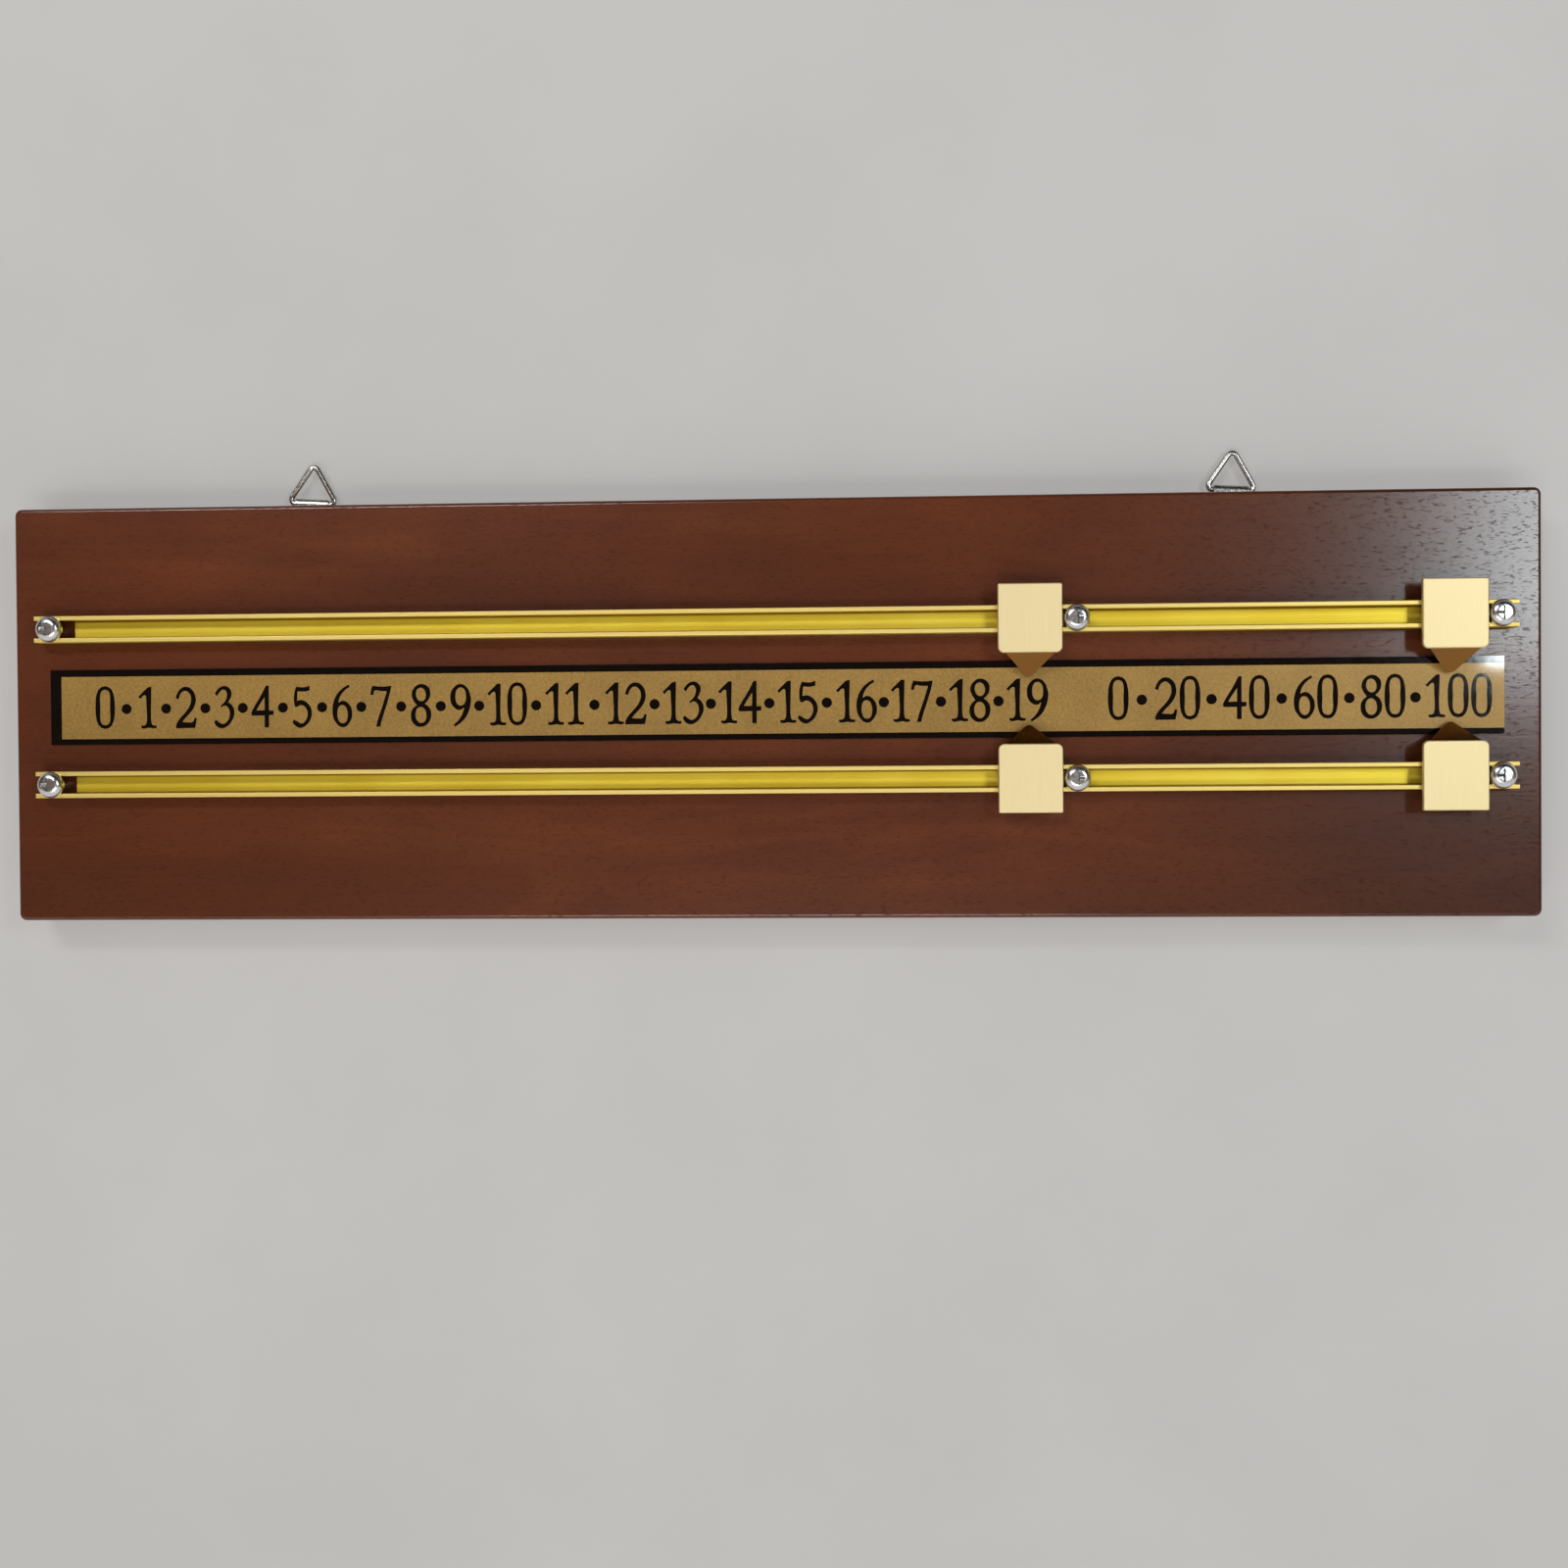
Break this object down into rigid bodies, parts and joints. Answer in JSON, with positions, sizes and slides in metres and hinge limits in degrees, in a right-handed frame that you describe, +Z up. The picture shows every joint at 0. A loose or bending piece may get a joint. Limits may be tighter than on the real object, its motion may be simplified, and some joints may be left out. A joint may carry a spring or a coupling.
{
  "type": "billiards score counter",
  "caption": "Wall-hung wooden score board with a printed number strip between rails, pointers that slide along them for each player's units and hundreds, and wire hanging rings on the back.",
  "frame": {"origin": "middle of the board's back face, which lies against the wall", "axes": "+X to the reader's right along the board, +Y out of the back into the wall, +Z up"},
  "size_m": [0.4, 0.0224, 0.1228],
  "materials": {
    "stained_wood": "mahogany stain under satin lacquer",
    "printed_strip": "gold face with black numbers and border, glossy",
    "gold_anodised": "bright gold anodised",
    "chromed_steel": "bright plated",
    "brushed_brass": "pale brushed plating",
    "dark_plastic": "moulded, matte",
    "plated_steel": "nickel plated"
  },
  "bodies": {
    "board": {"backboard": "stained_wood", "number_strip": "printed_strip", "upper_rail": "gold_anodised", "lower_rail": "gold_anodised", "upper_left_rail_screw": "chromed_steel", "upper_middle_rail_screw": "chromed_steel", "upper_right_rail_screw": "chromed_steel", "lower_left_rail_screw": "chromed_steel", "lower_middle_rail_screw": "chromed_steel", "lower_right_rail_screw": "chromed_steel", "left_hanger_strap": "plated_steel", "left_hanger_screw": "plated_steel", "right_hanger_strap": "plated_steel", "right_hanger_screw": "plated_steel"},
    "upper_units_slider": {"upper_units_pointer_plate": "brushed_brass", "upper_units_spacer": "dark_plastic", "upper_units_shoe": "dark_plastic", "upper_units_stud": "brushed_brass"},
    "upper_hundreds_slider": {"upper_hundreds_pointer_plate": "brushed_brass", "upper_hundreds_spacer": "dark_plastic", "upper_hundreds_shoe": "dark_plastic", "upper_hundreds_stud": "brushed_brass"},
    "lower_units_slider": {"lower_units_pointer_plate": "brushed_brass", "lower_units_spacer": "dark_plastic", "lower_units_shoe": "dark_plastic", "lower_units_stud": "brushed_brass"},
    "lower_hundreds_slider": {"lower_hundreds_pointer_plate": "brushed_brass", "lower_hundreds_spacer": "dark_plastic", "lower_hundreds_shoe": "dark_plastic", "lower_hundreds_stud": "brushed_brass"},
    "left_ring": {"left_hanger_ring": "plated_steel"},
    "right_ring": {"right_hanger_ring": "plated_steel"}
  },
  "joints": [
    {"name": "upper_units_slide", "type": "slide", "parent": "board", "child": "upper_units_slider", "axis": [1, 0, 0], "range_m": [-0.2454, 0]},
    {"name": "upper_hundreds_slide", "type": "slide", "parent": "board", "child": "upper_hundreds_slider", "axis": [1, 0, 0], "range_m": [-0.083, 0]},
    {"name": "lower_units_slide", "type": "slide", "parent": "board", "child": "lower_units_slider", "axis": [1, 0, 0], "range_m": [-0.2454, 0]},
    {"name": "lower_hundreds_slide", "type": "slide", "parent": "board", "child": "lower_hundreds_slider", "axis": [1, 0, 0], "range_m": [-0.083, 0]},
    {"name": "left_ring_hinge", "type": "hinge", "parent": "board", "child": "left_ring", "pos_m": [-0.12308, -0.00192, 0.05709], "axis": [0.9986, 0, -0.0523], "range_deg": [-155, 95]},
    {"name": "right_ring_hinge", "type": "hinge", "parent": "board", "child": "right_ring", "pos_m": [0.12392, -0.00192, 0.05709], "axis": [0.9986, 0, -0.0523], "range_deg": [-155, 95]}
  ]
}
